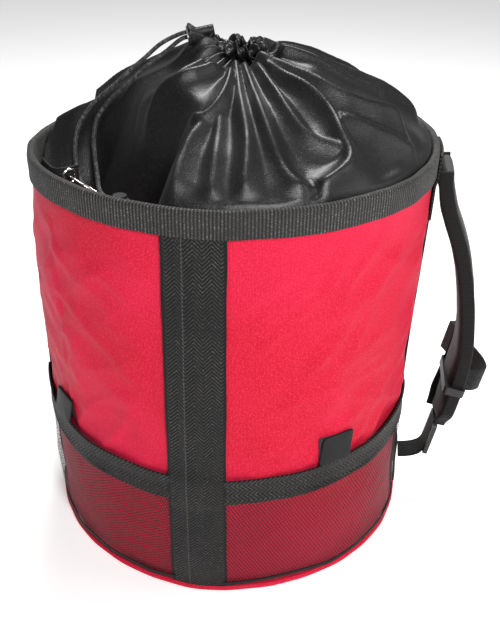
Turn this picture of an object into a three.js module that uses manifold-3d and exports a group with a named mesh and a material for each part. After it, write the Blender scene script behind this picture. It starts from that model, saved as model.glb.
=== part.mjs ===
// Drawstring rope bag with mesh pockets and padded shoulder straps.
// Millimetres, +Z up. The bag stands on its base at z = 0. Angles round the bag are measured
// in degrees from the front (-Y) towards +X, so 90 is the right side and 180 is the back.

import * as THREE from 'three';
import { mergeVertices } from 'three/addons/utils/BufferGeometryUtils.js';
import Module from 'manifold-3d';

const wasm = await Module();
wasm.setup();

// Driving dimensions
const BAG_HEIGHT = 375;
const RIM_RADIUS = 178;
const BASE_RADIUS = 171;
const CLOTH = 2;
const GAP = 0.4;
const AXIS_Y = -17.6;
const ROUND_STEPS = 40;

const WIDE_WEBBING = 50;
const NARROW_WEBBING = 25;
const WEBBING = 2;
const RIM_BAND_HEIGHT = 22;
const PIPING_HEIGHT = 5;
const PIPING_WIDTH = 3;

const COLLAR_RISE = 77;
const COLLAR_RADIUS = 172.6;
const COLLAR_SEAM_DROP = 50;
const MOUTH_RADIUS = 15;
const HOLLOW_START = -16;
const HOLLOW_END = 25;

const POCKET_TOP = 131;
const BINDING_HEIGHT = 25;
const POCKET_BULGE = 8;
const MESH = 1.2;

const TAB_WIDTH = 34;
const TAB_HEIGHT = 33;
const TAB = 2.4;
const TAB_LEAN = -5.5;

const CORD = 3.6;
const SHOULDER_ANGLE = 136;
const PAD_WIDTH = 52;
const PAD = 12;
const PAD_LEAN = 11.5;

const RIM = BAG_HEIGHT;
const UP = new THREE.Vector3(0, 0, 1);
const bag = new THREE.Group();
bag.position.set(0, AXIS_Y, 0);

const LOOKS = {
  redCloth: { color: 0xd0182c, roughness: 0.45, metalness: 0 },
  blackCloth: { color: 0x151516, roughness: 0.35, metalness: 0 },
  webbing: { color: 0x1d1e1e, roughness: 0.85, metalness: 0 },
  mesh: { color: 0x171011, roughness: 0.8, metalness: 0 },
  foam: { color: 0x3a3a3c, roughness: 0.9, metalness: 0 },
  plastic: { color: 0x18191a, roughness: 0.5, metalness: 0 },
  metal: { color: 0xc9c6bf, roughness: 0.22, metalness: 1 },
  cord: { color: 0x202120, roughness: 0.8, metalness: 0 },
};

// Geometry helpers

const radians = THREE.MathUtils.degToRad;

function shellRadius(z) {
  return BASE_RADIUS + ((RIM_RADIUS - BASE_RADIUS) * z) / BAG_HEIGHT;
}

function smooth(x) {
  const t = THREE.MathUtils.clamp(x, 0, 1);
  return t * t * (3 - 2 * t);
}

// Only positions, shared corners merged and every face pointing out.
function closed(source) {
  let geometry = source.index ? source.clone() : source;
  for (const name of ['normal', 'uv']) {
    geometry.deleteAttribute(name);
  }
  geometry = mergeVertices(geometry, 1e-4);
  const place = geometry.attributes.position;
  const corner = [0, 1, 2].map(() => new THREE.Vector3());
  let volume = 0;
  for (let i = 0; i < geometry.index.count; i += 3) {
    corner.forEach((c, k) => c.fromBufferAttribute(place, geometry.index.getX(i + k)));
    volume += corner[0].dot(corner[1].cross(corner[2]));
  }
  if (volume < 0) {
    geometry.index.array.reverse();
  }
  return geometry;
}

function toSolid(geometry) {
  const clean = closed(geometry);
  const vertProperties = new Float32Array(clean.attributes.position.array);
  const triVerts = new Uint32Array(clean.index.array);
  return new wasm.Manifold(new wasm.Mesh({ numProp: 3, vertProperties, triVerts }));
}

function toGeometry(solid) {
  const mesh = solid.getMesh();
  const geometry = new THREE.BufferGeometry();
  geometry.setAttribute('position', new THREE.BufferAttribute(mesh.vertProperties, 3));
  geometry.setIndex(new THREE.BufferAttribute(mesh.triVerts, 1));
  return geometry;
}

function cut(body, ...tools) {
  let solid = toSolid(body);
  for (const tool of tools) {
    solid = solid.subtract(toSolid(tool));
  }
  return toGeometry(solid);
}

function moveVertices(geometry, move) {
  const place = geometry.attributes.position;
  const point = new THREE.Vector3();
  for (let i = 0; i < place.count; i += 1) {
    point.fromBufferAttribute(place, i);
    move(point);
    place.setXYZ(i, point.x, point.y, point.z);
  }
  return geometry;
}

// A solid of revolution about Z from [radius, z] pairs that close on themselves.
function turned(profile, steps = ROUND_STEPS) {
  const points = [...profile, profile[0]].map(([r, z]) => new THREE.Vector2(r, z));
  return new THREE.LatheGeometry(points, steps).rotateX(Math.PI / 2);
}

// A plate wrapped on the shell: offset is its inner face's distance from the shell, and puff
// pushes it out by a distance that depends on the angle from its middle and on the height.
function wrapped({ offset, thickness, halfAngle, low, high, steps, rise = 1, puff = () => 0 }) {
  const inner = BASE_RADIUS + offset;
  const half = radians(halfAngle);
  const shape = new THREE.Shape();
  shape.absarc(0, 0, inner + thickness, -half, half, false);
  shape.absarc(0, 0, inner, half, -half, true);
  const geometry = new THREE.ExtrudeGeometry(shape, {
    depth: high - low,
    steps: rise,
    curveSegments: steps,
    bevelEnabled: false,
  }).translate(0, 0, low);
  return moveVertices(geometry, (p) => {
    const angle = Math.atan2(p.y, p.x);
    const radius = Math.hypot(p.x, p.y) + shellRadius(p.z) - BASE_RADIUS + puff(angle, p.z);
    p.x = radius * Math.cos(angle);
    p.y = radius * Math.sin(angle);
  });
}

function outline(corners) {
  return corners.map(([x, y]) => new THREE.Vector2(x, y));
}

function rectangle(width, height, corner = 0) {
  const x = width / 2 - corner;
  const y = height / 2 - corner;
  if (corner === 0) {
    return new THREE.Shape(outline([[-x, -y], [x, -y], [x, y], [-x, y]]));
  }
  const shape = new THREE.Shape();
  shape.absarc(x, y, corner, 0, Math.PI / 2);
  shape.absarc(-x, y, corner, Math.PI / 2, Math.PI);
  shape.absarc(-x, -y, corner, Math.PI, 1.5 * Math.PI);
  shape.absarc(x, -y, corner, 1.5 * Math.PI, 2 * Math.PI);
  return shape;
}

function chamfered(width, height, corner) {
  const x = width / 2;
  const y = height / 2;
  const c = corner;
  const top = [[x, y - c], [x - c, y], [c - x, y], [-x, y - c]];
  const bottom = [[-x, c - y], [c - x, -y], [x - c, -y], [x, c - y]];
  return new THREE.Shape(outline([...top, ...bottom]));
}

function extruded(shape, depth, curveSegments = 4) {
  return new THREE.ExtrudeGeometry(shape, { depth, curveSegments, bevelEnabled: false });
}

// The shape's own x and y become Y and Z, and it is extruded along X.
function facingOut(geometry) {
  const x = new THREE.Vector3(1, 0, 0);
  const y = new THREE.Vector3(0, 1, 0);
  return geometry.applyMatrix4(new THREE.Matrix4().makeBasis(y, UP, x));
}

function along(points, shape, steps) {
  const route = new THREE.CatmullRomCurve3(points.map((p) => new THREE.Vector3(...p)));
  return new THREE.ExtrudeGeometry(shape, {
    steps,
    extrudePath: route,
    curveSegments: 2,
    bevelEnabled: false,
  });
}

// A flat strap along a route given as [radius, z] in its own radial plane.
function strapAlong(route, width, thickness, steps, corner = 0) {
  const section = corner ? chamfered(width, thickness, corner) : rectangle(width, thickness);
  return along(route.map(([r, z]) => [r, 0, z]), section, steps);
}

function add(name, geometry, look, parent = bag) {
  const mesh = new THREE.Mesh(closed(geometry), new THREE.MeshStandardMaterial(LOOKS[look]));
  mesh.name = name;
  parent.add(mesh);
  return mesh;
}

// A group whose +X points away from the bag's axis at the given angle.
function facing(angle) {
  const group = new THREE.Group();
  group.rotation.z = radians(angle - 90);
  bag.add(group);
  return group;
}

function eyelet(bore, outside, grip) {
  const lip = 1;
  const barrel = bore + 1;
  const face = grip / 2 + GAP;
  return turned(
    [
      [bore, -face - lip],
      [outside, -face - lip],
      [outside, -face],
      [barrel, -face],
      [barrel, face],
      [outside, face],
      [outside, face + lip],
      [bore, face + lip],
    ],
    16,
  );
}

// Body: cloth cylinder, base disc with its stiffener and drain, and the webbing rim

function makeBody() {
  const edge = RIM - WEBBING;
  add(
    'body_shell',
    turned([
      [BASE_RADIUS, 0],
      [shellRadius(edge), edge],
      [shellRadius(edge) - CLOTH, edge],
      [BASE_RADIUS - CLOTH, 0],
    ]),
    'redCloth',
  );
  const disc = BASE_RADIUS - CLOTH - GAP;
  const drain = 7;
  add('base_panel', turned([[drain, 0], [disc, 0], [disc, 3], [drain, 3]]), 'redCloth');
  const inside = disc - 2;
  const hole = 13;
  add('base_stiffener', turned([[hole, 3.4], [inside, 3.4], [inside, 9.4], [hole, 9.4]]), 'foam');
  const grommet = turned(
    [[5, 0.6], [drain - GAP, 0.6], [drain - GAP, 3 + GAP], [11, 3 + GAP], [11, 4.4], [5, 4.4]],
    20,
  );
  add('drain_grommet', grommet, 'metal');
  const pipe = BASE_RADIUS + GAP;
  add(
    'base_piping',
    turned([
      [pipe, 0],
      [pipe + PIPING_WIDTH - 1, 0],
      [pipe + PIPING_WIDTH, 1.5],
      [pipe + PIPING_WIDTH, PIPING_HEIGHT - 1.5],
      [pipe + PIPING_WIDTH - 1, PIPING_HEIGHT],
      [pipe + 0.1, PIPING_HEIGHT],
    ]),
    'redCloth',
  );
  const foot = RIM - RIM_BAND_HEIGHT;
  const outside = (z) => shellRadius(z) + GAP;
  const innerFace = (z) => shellRadius(z) - CLOTH - GAP;
  const crown = RIM - WEBBING + GAP;
  add(
    'rim_band',
    turned([
      [outside(foot) + WEBBING, foot],
      [outside(RIM) + WEBBING, RIM],
      [innerFace(RIM) - WEBBING, RIM],
      [innerFace(foot) - WEBBING, foot],
      [innerFace(foot), foot],
      [innerFace(crown), crown],
      [outside(crown), crown],
      [outside(foot), foot],
    ]),
    'webbing',
  );
  const loop = along(
    [[-22, 0, 10.8], [-22, 0, 30], [-12, 0, 44], [0, 0, 48], [12, 0, 44], [22, 0, 30], [22, 0, 10.8]],
    rectangle(NARROW_WEBBING, WEBBING),
    16,
  );
  add('tie_in_loop', loop.translate(0, 70, 0), 'webbing');
}

// Collar: a gathered dome sewn inside the rim, higher on one side, with a hollow pressed in
// beside the rim where the gear ring hangs

const LEAN_SIDE = new THREE.Vector2(0.585, 0.811);

function collarShift(x, y, z, thicknessBelow) {
  const radius = Math.hypot(x, y);
  const share = Math.min(radius / COLLAR_RADIUS, 1);
  const lean = (16 * (x * LEAN_SIDE.x + y * LEAN_SIDE.y) * (1 - share ** 6)) / COLLAR_RADIUS;
  const angle = THREE.MathUtils.radToDeg(Math.atan2(x, -y));
  const before = 1 - smooth((HOLLOW_START - angle) / 24);
  const after = 1 - smooth((angle - HOLLOW_END) / 15);
  const aside = 0.94 * before * after;
  const outward = smooth((radius - 80) / 48);
  const floor = RIM - COLLAR_SEAM_DROP - thicknessBelow;
  const leaned = z + lean * smooth((z - floor) / 40);
  return leaned - (leaned - floor) * aside * outward;
}

function collarProfile() {
  const profile = [
    [COLLAR_RADIUS, -COLLAR_SEAM_DROP],
    [COLLAR_RADIUS, -8],
  ];
  for (const share of [0.99, 0.95, 0.89, 0.81, 0.71, 0.58, 0.42, 0.24]) {
    profile.push([share * COLLAR_RADIUS, COLLAR_RISE * (1 - share ** 1.6) ** 0.9]);
  }
  profile.push([MOUTH_RADIUS, COLLAR_RISE]);
  return profile.map(([r, z]) => new THREE.Vector2(r, z + RIM));
}

function makeCollar() {
  const outer = collarProfile();
  const inner = outer.map((point, i) => {
    const before = outer[Math.max(i - 1, 0)];
    const after = outer[Math.min(i + 1, outer.length - 1)];
    const way = after.clone().sub(before).normalize();
    return point.clone().add(new THREE.Vector2(-way.y, way.x).multiplyScalar(CLOTH + 0.2));
  });
  inner[0].y = outer[0].y;
  inner[inner.length - 1].x = MOUTH_RADIUS;
  const loop = [...outer, ...inner.reverse(), outer[0]];
  const dome = new THREE.LatheGeometry(loop, 42).rotateX(Math.PI / 2);
  const isOutside = (p) => {
    const radius = Math.hypot(p.x, p.y);
    return outer.some((q) => Math.abs(q.x - radius) < 0.01 && Math.abs(q.y - p.z) < 0.01);
  };
  moveVertices(dome, (p) => {
    const atSeam = Math.abs(p.z - (RIM - COLLAR_SEAM_DROP)) < 0.01;
    if (!atSeam) {
      p.z = collarShift(p.x, p.y, p.z, isOutside(p) ? 0 : CLOTH + 0.2);
    }
  });
  add('collar', dome, 'blackCloth');

  const hem = new THREE.TorusGeometry(21, 5.5, 8, 24);
  hem.translate(4, 6, RIM + COLLAR_RISE + 8.5);
  add('collar_hem', hem, 'blackCloth');
}

// Cord outlet: an eyelet in a stiff patch that stands at the edge of the gathered mouth

const OUTLET = new THREE.Vector3(-20, -29, RIM + 83);
const OUTLET_WAY = new THREE.Vector3(-0.53, -0.82, -0.2).normalize();

function makeCordOutlet() {
  const outlet = new THREE.Group();
  outlet.position.copy(OUTLET);
  outlet.quaternion.setFromUnitVectors(UP, OUTLET_WAY);
  bag.add(outlet);
  const patch = extruded(rectangle(20, 20, 5), 2.4, 3).translate(0, 0, -1.2);
  const hole = new THREE.CylinderGeometry(5.9, 5.9, 6, 16).rotateX(Math.PI / 2);
  add('outlet_patch', cut(patch, hole), 'blackCloth', outlet);
  add('cord_grommet', eyelet(4.4, 7.5, 2.4), 'metal', outlet);
}

// Drawcord: one loop that leaves the eyelet, runs down the collar into the hollow, through the
// cord lock, and back beside itself

const CORD_ROUTE = [
  [-19.2, -27.7, 460.5], [-24.5, -35.9, 458.5], [-34, -49, 450.5], [-41, -61, 439], [-47, -72, 429],
  [-53, -83, 418], [-59, -92, 409], [-64, -100, 401], [-67, -108, 391], [-67, -116, 379],
  [-59, -124, 362], [-44, -129, 346], [-24, -131.5, 341.5], [0, -132, 341.5], [14, -134, 342.4],
  [25.5, -138.5, 343], [35.1, -135.6, 343], [44.9, -133.5, 343], [53, -129.5, 344],
  [58, -122.5, 346], [54, -116, 347.5], [47, -117, 346.5], [43, -122.5, 344.6],
  [43.6, -128.7, 343], [34, -131.6, 343], [24.2, -133.7, 343], [14, -128.6, 342], [0, -126.5, 341],
  [-18, -124, 342], [-32, -118, 350], [-44, -113, 363], [-53, -108, 375], [-58, -101, 389],
  [-55, -92, 401.5], [-49, -83, 412], [-43, -72, 422.5], [-37, -61, 433.5], [-30, -47, 444.5],
  [-24.1, -35.2, 454.3], [-18.7, -27, 456.3],
];

function makeDrawcord() {
  const circle = new THREE.Shape().absarc(0, 0, CORD / 2, 0, 2 * Math.PI);
  const route = new THREE.CatmullRomCurve3(CORD_ROUTE.map((p) => new THREE.Vector3(...p)));
  const cord = new THREE.ExtrudeGeometry(circle, {
    steps: 80,
    extrudePath: route,
    curveSegments: 4,
    bevelEnabled: false,
  });
  add('drawcord', cord, 'cord');
}

// Cord lock: a barrel with a sprung button, both cords passing through its cross slot

const LOCK = { angle: 14.5, radius: 138, cordHeight: 343 };

function makeCordLock() {
  const lock = facing(LOCK.angle);
  const mid = LOCK.cordHeight;
  const put = (geometry) => geometry.translate(LOCK.radius, 0, mid);
  const slot = (low, high) => {
    const width = 9.2;
    return new THREE.BoxGeometry(width, 30, high - low).translate(0, 0, (low + high) / 2);
  };
  const barrel = turned([[0, -11], [7.6, -11], [7.6, 10], [5.9, 10], [5.9, -9.5], [0, -9.5]], 20);
  add('cord_lock_body', put(cut(barrel, slot(-2.6, 2.6))), 'plastic', lock);
  const button = turned([[0, -4.6], [5.5, -4.6], [5.5, 14.2], [0, 14.2]], 20);
  add('cord_lock_button', put(cut(button, slot(-2.1, 6.2))), 'plastic', lock);
  const spring = turned([[3, -9.1], [4.4, -9.1], [4.4, -5], [3, -5]], 16);
  add('cord_lock_spring', put(spring), 'metal', lock);
}

// Gear ring inside the rim: a webbing tab that runs along the wall and turns inward, an eyelet in
// its end and a steel ring through it

const GEAR = { angle: -1, radius: 158, z: RIM - 8 };
const GEAR_RING_RADIUS = 16;
const GEAR_WIRE = 1;

function makeGearRing() {
  const gear = facing(GEAR.angle);
  const half = WEBBING / 2;
  const wall = 168.6;
  const tip = GEAR.radius - 9;
  const shape = new THREE.Shape();
  shape.moveTo(tip, -half);
  shape.lineTo(wall - 4, -half);
  shape.absarc(wall - 4, -half - 3, 3, Math.PI / 2, 0, true);
  shape.absarc(0, 0, wall - 1, -0.03, -0.2, true);
  shape.absarc(0, 0, wall + 1, -0.2, -0.03, false);
  shape.absarc(wall - 4, -half - 3, 5, 0, Math.PI / 2, false);
  shape.lineTo(tip, half);
  const strip = extruded(shape, 15, 4).translate(0, 0, GEAR.z - 7.5);
  const hole = new THREE.CylinderGeometry(5.4, 5.4, 12, 16).translate(GEAR.radius, 0, GEAR.z);
  add('gear_tab', cut(strip, hole), 'webbing', gear);
  const metal = eyelet(4, 6.4, WEBBING).rotateX(Math.PI / 2);
  add('gear_eyelet', metal.translate(GEAR.radius, 0, GEAR.z), 'metal', gear);
  const ring = new THREE.TorusGeometry(GEAR_RING_RADIUS, GEAR_WIRE, 8, 24).rotateY(Math.PI / 2);
  ring.translate(0, 7, -Math.sqrt(GEAR_RING_RADIUS ** 2 - 49)).rotateY(radians(50));
  add('gear_ring', ring.translate(GEAR.radius, 0, GEAR.z), 'metal', gear);
}

// Four vertical straps on the shell, from the base piping to the rim band

const STRAP_ANGLES = { front_right: 45, back_right: 139, back_left: 221, front_left: 320 };

function makeVerticalStraps() {
  const halfAngle = THREE.MathUtils.radToDeg(WIDE_WEBBING / 2 / BASE_RADIUS);
  for (const [corner, angle] of Object.entries(STRAP_ANGLES)) {
    const strap = wrapped({
      offset: GAP,
      thickness: WEBBING,
      halfAngle,
      low: PIPING_HEIGHT + GAP,
      high: RIM - RIM_BAND_HEIGHT - GAP,
      steps: 6,
    });
    add(`vertical_strap_${corner}`, strap, 'webbing', facing(angle));
  }
}

// Four mesh pockets between the straps, each with a bound top edge and a closure tab

const STRAP_HALF_ANGLE = 8.4;

function pocketPuff(halfAngle) {
  return (angle, z) => {
    const across = Math.cos((Math.PI / 2) * Math.min(Math.abs(angle) / radians(halfAngle), 1));
    return POCKET_BULGE * across * across ** 0.3 * Math.min(0.25 + (0.75 * z) / 100, 1);
  };
}

const TAB_FOOT = { out: POCKET_BULGE + 2.6, z: POCKET_TOP + GAP };

function makePockets() {
  const { front_right, back_right, back_left, front_left } = STRAP_ANGLES;
  const sides = {
    front: [front_left - 360, front_right, -5],
    right: [front_right, back_right, 84],
    back: [back_right, back_left, 180],
    left: [back_left, front_left, 270],
  };
  const bindingLow = POCKET_TOP - BINDING_HEIGHT;
  for (const [side, [from, to, tabAngle]] of Object.entries(sides)) {
    const place = facing((from + to) / 2);
    const halfAngle = (to - from) / 2 - STRAP_HALF_ANGLE;
    const shared = { halfAngle, steps: 14, puff: pocketPuff(halfAngle) };
    const net = wrapped({
      ...shared,
      offset: GAP,
      thickness: MESH,
      low: PIPING_HEIGHT + GAP,
      high: bindingLow - GAP,
      rise: 2,
    });
    add(`pocket_mesh_${side}`, net, 'mesh', place);
    const binding = wrapped({
      ...shared,
      offset: GAP,
      thickness: 2.6,
      low: bindingLow,
      high: POCKET_TOP,
    });
    add(`pocket_binding_${side}`, binding, 'webbing', place);

    const tabShape = rectangle(TAB_WIDTH, TAB_HEIGHT, 5);
    const tab = facingOut(extruded(tabShape, TAB, 3)).translate(-TAB, 0, TAB_HEIGHT / 2);
    tab.rotateY(radians(-TAB_LEAN));
    tab.translate(shellRadius(TAB_FOOT.z) + TAB_FOOT.out, 0, TAB_FOOT.z + 0.9);
    const tabPlace = facing(tabAngle);
    add(`pocket_tab_${side}`, tab, 'webbing', tabPlace);
    const patch = wrapped({
      offset: GAP,
      thickness: 1,
      halfAngle: 5,
      low: POCKET_TOP + 8,
      high: POCKET_TOP + 32,
      steps: 4,
    });
    add(`hook_patch_${side}`, patch, 'webbing', tabPlace);
  }
}

// Carrying straps: each pad is sewn at the rim over a back vertical strap, bows away from the
// bag and ends in a ladder lock that takes webbing from the foot of the bag

const PAD_ROUTE = [
  [190.4, 352], [191.5, 339], [198.5, 316], [212, 280], [220.5, 238], [223.8, 205],
  [224, 182], [222, 161], [218, 139], [212.5, 114], [207, 94],
];
const LOCK_TOP = { radius: 207.2, z: 90 };
const CHEST = { radius: 218.2, z: 140 };
const CHEST_TILT = radians(PAD_LEAN);

function makeLadderLock() {
  const width = 33;
  const height = 37;
  const frame = rectangle(width, height, 3);
  for (const y of [11, 0, -9]) {
    const slot = new THREE.Path();
    const x = NARROW_WEBBING / 2 + 0.6;
    slot.setFromPoints(outline([[-x, y - 2.4], [x, y - 2.4], [x, y + 2.4], [-x, y + 2.4]]));
    frame.holes.push(slot);
  }
  const body = facingOut(extruded(frame, 4, 2)).translate(-2, 0, -height / 2);
  body.rotateY(CHEST_TILT);
  return body.translate(LOCK_TOP.radius, 0, LOCK_TOP.z);
}

function chestFrame(parent) {
  const frame = new THREE.Group();
  frame.position.set(CHEST.radius, 0, CHEST.z);
  frame.rotation.y = CHEST_TILT;
  parent.add(frame);
  return frame;
}

// The chest webbing stands on edge: it leaves the slider outwards and curls back round.
const CHEST_ROUTE = [[12.2, 0, 0], [23, 3, 0], [31, 12, 0], [30, 27, 0], [24, 42, 0], [17, 55, 0]];
const BUCKLE_TURN = radians(28);

function chestBuckle(kind) {
  const width = 32;
  const place = (geometry) => geometry.rotateZ(BUCKLE_TURN).translate(16, 57, 0);
  const box = (thick, length, high, y, z = 0) => {
    return new THREE.BoxGeometry(thick, length, high).translate(0, y, z);
  };
  if (kind === 'socket') {
    const shell = box(9, 30, width, 15);
    return place(cut(shell, box(5.4, 26, 25, 17.2)));
  }
  const body = box(7, 16, width, 8);
  const gaps = [box(10, 30, 6.4, 30.6, 5.6), box(10, 30, 6.4, 30.6, -5.6)];
  const prongs = box(4.6, 16.2, 24, 23.9);
  const whole = toSolid(body).add(toSolid(prongs.translate(0, -0.2, 0)));
  return place(cut(toGeometry(whole), ...gaps));
}

function makeShoulderStrap(side, angle, mirror) {
  const strap = facing(angle);
  strap.scale.y = mirror;
  const anchorTop = RIM - 3;
  const rimFace = GAP + WEBBING + GAP;
  const anchor = wrapped({
    offset: rimFace,
    thickness: WEBBING,
    halfAngle: 8,
    low: RIM - 62,
    high: anchorTop,
    steps: 5,
  });
  add(`shoulder_anchor_${side}`, anchor, 'webbing', strap);
  add(`shoulder_pad_${side}`, strapAlong(PAD_ROUTE, PAD_WIDTH, PAD, 20, 3), 'webbing', strap);
  add(`ladder_lock_${side}`, makeLadderLock(), 'plastic', strap);
  const route = [[197.6, 54.2], [192, 49.5], [185, 47], [177.6, 46]];
  add(`lower_webbing_${side}`, strapAlong(route, NARROW_WEBBING, WEBBING, 8), 'webbing', strap);
  const foot = wrapped({
    offset: rimFace,
    thickness: WEBBING,
    halfAngle: 7,
    low: 22,
    high: 62,
    steps: 4,
  });
  add(`lower_anchor_${side}`, foot, 'webbing', strap);

  const chest = chestFrame(strap);
  const outerRing = rectangle(PAD + 8, PAD_WIDTH + 8, 3);
  const inner = rectangle(PAD + 3, PAD_WIDTH + 3, 2);
  outerRing.holes.push(new THREE.Path(inner.getPoints(2).reverse()));
  add(`chest_slider_${side}`, extruded(outerRing, 8, 2).translate(0, 0, -4), 'plastic', chest);
  const band = along(CHEST_ROUTE, rectangle(NARROW_WEBBING, WEBBING), 14);
  add(`chest_webbing_${side}`, band, 'webbing', chest);
  const kind = mirror > 0 ? 'socket' : 'prongs';
  add(`chest_buckle_${kind}`, chestBuckle(kind), 'plastic', chest);
}

makeBody();
makeCollar();
makeCordOutlet();
makeDrawcord();
makeCordLock();
makeGearRing();
makeVerticalStraps();
makePockets();
makeShoulderStrap('right', SHOULDER_ANGLE, 1);
makeShoulderStrap('left', 360 - SHOULDER_ANGLE, -1);

export default bag;
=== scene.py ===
"""Drawstring rope bag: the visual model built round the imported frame.

Shapes are written in millimetres in the bag's own frame, whose Z axis is the axis of the bag, and
are turned into metres in the row frame when a piece is made. Angles round the bag are in degrees
from the front (-Y) towards +X.
"""
import math

import bmesh
import bpy
import numpy as np
from mathutils import Matrix, Vector, noise


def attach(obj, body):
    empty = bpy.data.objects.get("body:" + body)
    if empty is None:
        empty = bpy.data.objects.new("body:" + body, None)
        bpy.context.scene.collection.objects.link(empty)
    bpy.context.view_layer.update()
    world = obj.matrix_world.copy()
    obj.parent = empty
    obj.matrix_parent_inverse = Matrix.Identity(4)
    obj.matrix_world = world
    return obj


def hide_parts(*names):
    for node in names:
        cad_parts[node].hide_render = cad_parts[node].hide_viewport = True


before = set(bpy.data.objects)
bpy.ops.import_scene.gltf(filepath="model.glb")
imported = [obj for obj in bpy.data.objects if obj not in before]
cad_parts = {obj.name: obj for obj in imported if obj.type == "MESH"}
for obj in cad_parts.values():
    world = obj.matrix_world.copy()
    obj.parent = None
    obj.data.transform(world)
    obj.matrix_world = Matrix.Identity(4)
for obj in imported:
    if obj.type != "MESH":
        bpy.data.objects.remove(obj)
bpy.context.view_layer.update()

MM = 0.001
UP = [0.0, 0.0, 1.0]
SIDEWAYS = [0.0, 1.0, 0.0]
AXIS_Y = -17.6
BAG = Matrix.Translation((0, AXIS_Y * MM, 0))

RIM = 375.0
RIM_RADIUS = 178.0
BASE_RADIUS = 171.0
BAND_HEIGHT = 22.0
TAPER = 0.0187  # how much the radius shrinks for each millimetre down the wall
COLLAR_RADIUS = 172.6
COLLAR_RISE = 77.0
FOLD_SCALE = 1.65
MOUTH = (4.0, 6.0)
POCKET_TOP = 131.0
BINDING = 25.0
SEAM_DROP = 50.0
# Each pocket's middle, its half width and its tab's middle, all in degrees
POCKETS = {"front": (2.5, 34.1, -5), "right": (92, 38.6, 84), "back": (180, 32.6, 180),
           "left": (270.5, 41.1, 270)}
CORNERS = {"front_right": 45, "back_right": 139, "back_left": 221, "front_left": 320}
SHOULDERS = (("right", 136, 1), ("left", 224, -1))


def facing(angle):
    """The frame whose +X points away from the bag's axis at this angle."""
    return BAG @ Matrix.Rotation(math.radians(angle - 90), 4, "Z")


def full_turn(count, whole=360):
    """Even steps once round, in degrees or in whatever a whole turn measures."""
    return np.linspace(0, whole, count, endpoint=False)


def sind(degrees):
    return np.sin(np.radians(degrees))


def cosd(degrees):
    return np.cos(np.radians(degrees))


def gap(a, b):
    """How far angle a is past angle b, from -180 to 180 degrees."""
    return (a - b + 180) % 360 - 180


def turn_about_y(angle):
    c, s = math.cos(angle), math.sin(angle)
    return np.array([[c, 0, s], [0, 1, 0], [-s, 0, c]])


def smooth(x):
    t = np.clip(x, 0, 1)
    return t * t * (3 - 2 * t)


def linked(name, data):
    """A new object in the scene."""
    item = bpy.data.objects.new(name, data)
    bpy.context.scene.collection.objects.link(item)
    return item


# Camera

CAMERA_AZIMUTH = math.radians(54.2)
CAMERA_DISTANCE = 773.7
CAMERA_HEIGHT = 627.7
camera_data = bpy.data.cameras.new("camera")
camera_data.sensor_fit = "HORIZONTAL"
camera_data.sensor_width = 36
camera_data.lens = 65.5
camera_data.clip_end = 50
camera = linked("camera", camera_data)
camera_place = (
    CAMERA_DISTANCE * math.sin(CAMERA_AZIMUTH) * MM,
    (-CAMERA_DISTANCE * math.cos(CAMERA_AZIMUTH) + AXIS_Y) * MM,
    CAMERA_HEIGHT * MM,
)
camera.matrix_world = (
    Matrix.Translation(camera_place)
    @ Matrix.Rotation(CAMERA_AZIMUTH - math.radians(1.33), 4, "Z")
    @ Matrix.Rotation(math.radians(90 - 29.32), 4, "X")
    @ Matrix.Rotation(math.radians(0.94), 4, "Z")
)
bpy.context.scene.camera = camera


# Node graphs


def maths(operation, reverse=False):
    """A method that feeds a value and its arguments to a maths node."""

    def method(self, *others):
        return self.graph.math(operation, *((*others, self) if reverse else (self, *others)))

    return method


class Value:
    """A node output that takes part in arithmetic."""

    __add__ = maths("ADD")
    __sub__ = maths("SUBTRACT")
    __rsub__ = maths("SUBTRACT", reverse=True)
    __mul__ = maths("MULTIPLY")
    __truediv__ = maths("DIVIDE")
    below = maths("LESS_THAN")
    above = maths("GREATER_THAN")
    size = maths("ABSOLUTE")
    pingpong = maths("PINGPONG")
    remainder = maths("FLOORED_MODULO")

    def __init__(self, graph, socket):
        self.graph = graph
        self.socket = socket

    def sine(self, period):
        """A wave from 0 to 1 with this period."""
        wave = self.graph.math("SINE", self * (2 * math.pi / period))
        return wave * 0.5 + 0.5

    def ramp(self, low, high):
        """0 at low, 1 at high, and smooth between."""
        node = self.graph.node("ShaderNodeMapRange", interpolation_type="SMOOTHSTEP")
        self.graph.feed(node.inputs["Value"], self)
        node.inputs["From Min"].default_value = low
        node.inputs["From Max"].default_value = high
        return Value(self.graph, node.outputs["Result"])


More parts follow.
